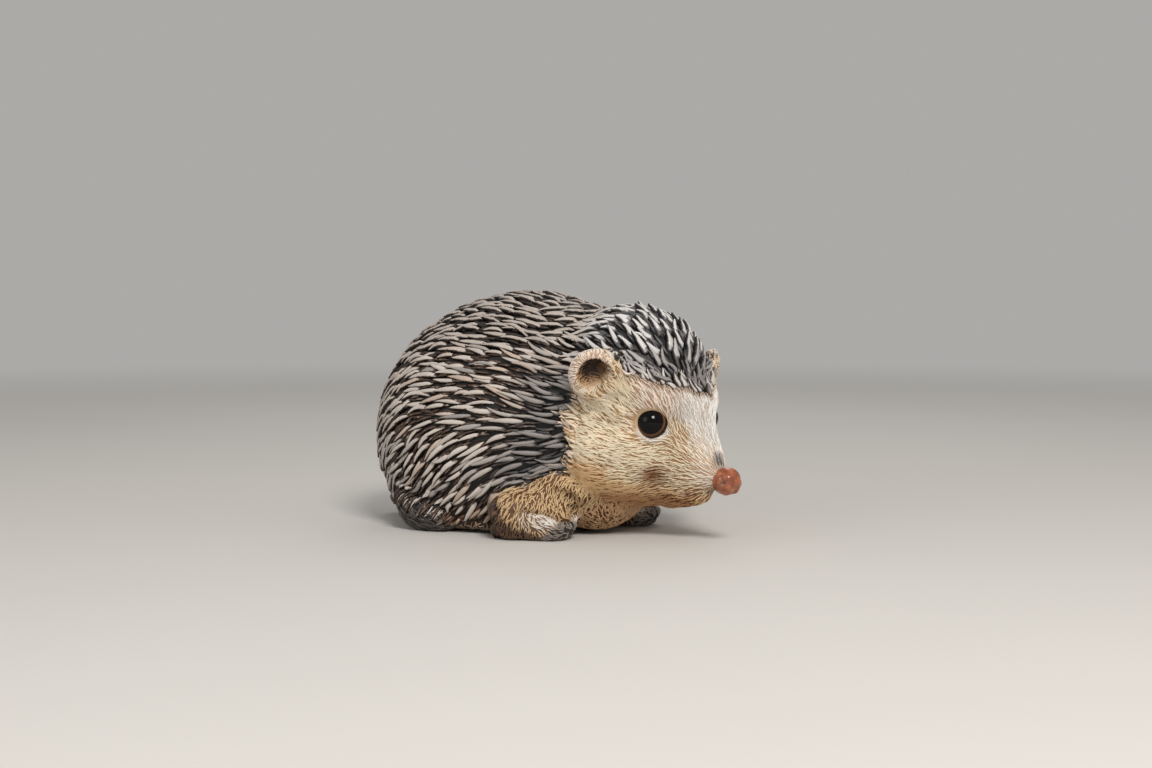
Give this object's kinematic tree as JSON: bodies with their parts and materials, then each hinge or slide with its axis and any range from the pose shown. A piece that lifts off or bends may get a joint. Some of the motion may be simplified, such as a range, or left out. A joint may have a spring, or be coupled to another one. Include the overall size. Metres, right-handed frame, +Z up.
{
  "type": "hedgehog ornament",
  "caption": "Painted cast-resin garden ornament of a crouching hedgehog, with moulded spines and fur, round ears, glossy dark eyes and a blunt terracotta-coloured nose.",
  "frame": {"origin": "on the floor, under the middle of the whole ornament's bounding box", "axes": "+X from tail to head, +Y to the animal's left, +Z up"},
  "size_m": [0.228, 0.128, 0.1261],
  "materials": {
    "spines": "painted cast resin: cream worn crests over dark brown grooves",
    "fur": "painted cast resin: cream and tan, satin",
    "paws": "painted cast resin: dark grey-brown, half gloss",
    "nose": "terracotta paint, glossy",
    "eyes": "black with a brown ring, high gloss"
  },
  "bodies": {
    "root": {"trunk": "spines", "head": "fur", "chest": "fur", "nose": "nose", "tail": "paws", "eye_left": "eyes", "eye_right": "eyes", "ear_left": "fur", "ear_right": "fur", "foreleg_left": "fur", "foreleg_right": "fur", "hind_foot_left": "paws", "hind_foot_right": "paws"}
  },
  "joints": []
}
